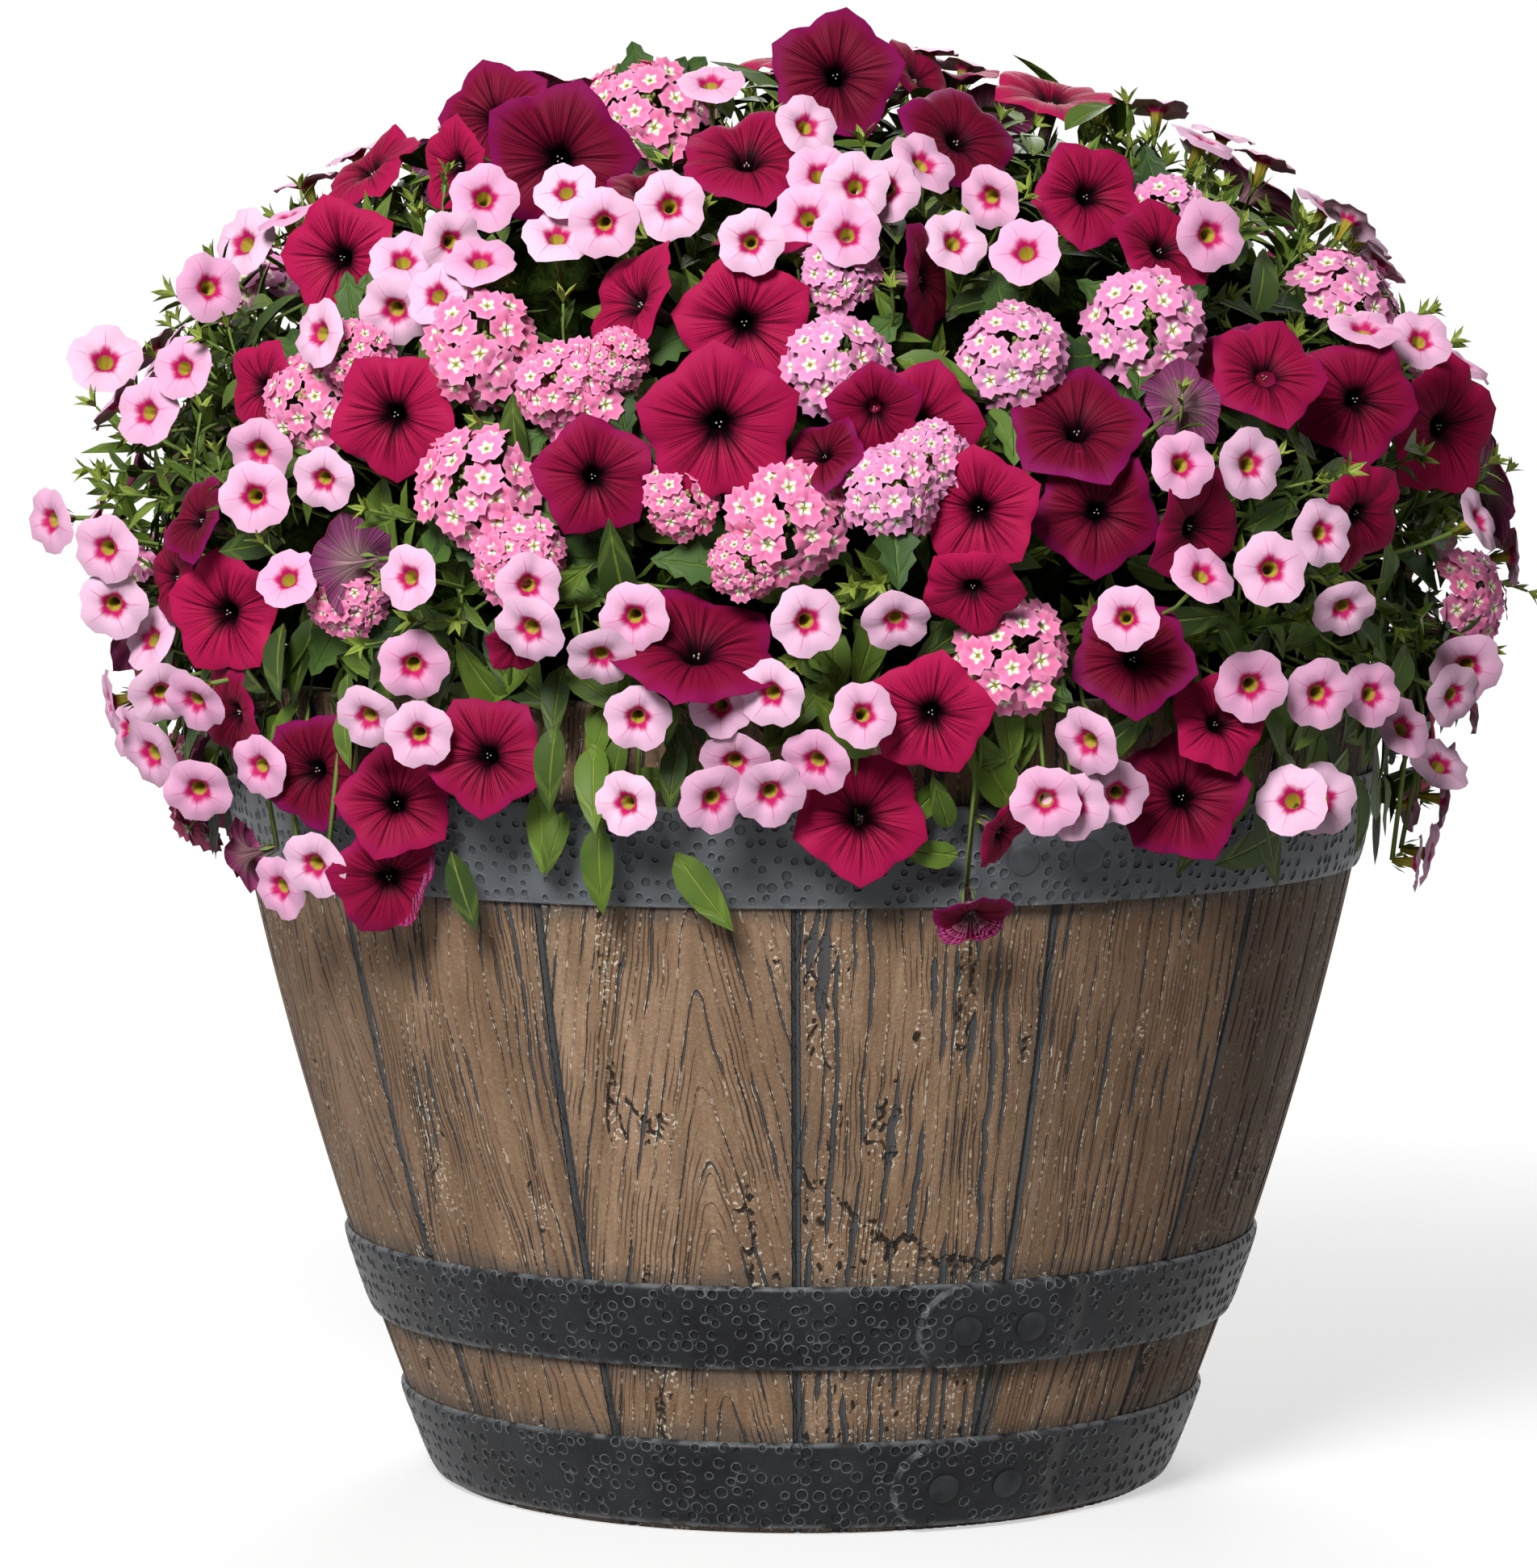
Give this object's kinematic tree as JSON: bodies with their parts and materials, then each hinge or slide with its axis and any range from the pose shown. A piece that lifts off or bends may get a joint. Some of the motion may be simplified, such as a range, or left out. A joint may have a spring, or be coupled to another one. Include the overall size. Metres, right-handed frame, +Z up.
{
  "type": "whiskey barrel planter",
  "caption": "Half-barrel planter of bent wooden staves in riveted iron hoops, with a drained head, potting mix and an overflowing mound of trailing flowers.",
  "frame": {"origin": "on the floor, on the barrel's own axis, under the middle of the bounding box", "axes": "+Z up along the barrel's axis, -Y the front, +X to the right seen from the front; the hoops' laps and rivets lie right of the front"},
  "size_m": [0.6408, 0.6408, 0.636],
  "materials": {
    "stave_wood": "dark stained oak, deep weathered grain, satin",
    "head_wood": "sawn oak, damp and darkened",
    "dowel_wood": "turned hardwood",
    "hoop_iron": "charcoal paint over stamped rings, satin",
    "rivet_iron": "charcoal paint, satin",
    "potting_mix": "damp peat, bark and roots",
    "leaves": "soft green leaves and stems",
    "petunia_petals": "velvety magenta with a dark throat",
    "calibrachoa_petals": "pale pink with a crimson and yellow eye",
    "verbena_petals": "pink with a cream eye"
  },
  "bodies": {
    "planter": {"stave_01": "stave_wood", "stave_02": "stave_wood", "stave_03": "stave_wood", "stave_04": "stave_wood", "stave_05": "stave_wood", "stave_06": "stave_wood", "stave_07": "stave_wood", "stave_08": "stave_wood", "stave_09": "stave_wood", "stave_10": "stave_wood", "stave_11": "stave_wood", "stave_12": "stave_wood", "stave_13": "stave_wood", "stave_14": "stave_wood", "head_board_1": "head_wood", "head_board_2": "head_wood", "head_board_3": "head_wood", "head_board_4": "head_wood", "head_board_5": "head_wood", "head_dowels": "dowel_wood", "top_hoop": "hoop_iron", "middle_hoop": "hoop_iron", "bottom_hoop": "hoop_iron", "top_hoop_rivets": "rivet_iron", "middle_hoop_rivets": "rivet_iron", "bottom_hoop_rivets": "rivet_iron"},
    "planting": {"potting_soil": "potting_mix", "flower_clump_1": "leaves", "flower_clump_2": "leaves", "flower_clump_3": "leaves", "flower_clump_4": "leaves", "flower_clump_5": "leaves", "flower_clump_6": "leaves", "flower_clump_7": "leaves", "flower_clump_8": "leaves"}
  },
  "joints": [
    {"name": "planting_lift", "type": "slide", "parent": "planter", "child": "planting", "axis": [0, 0, 1], "range_m": [0, 0.31]}
  ]
}
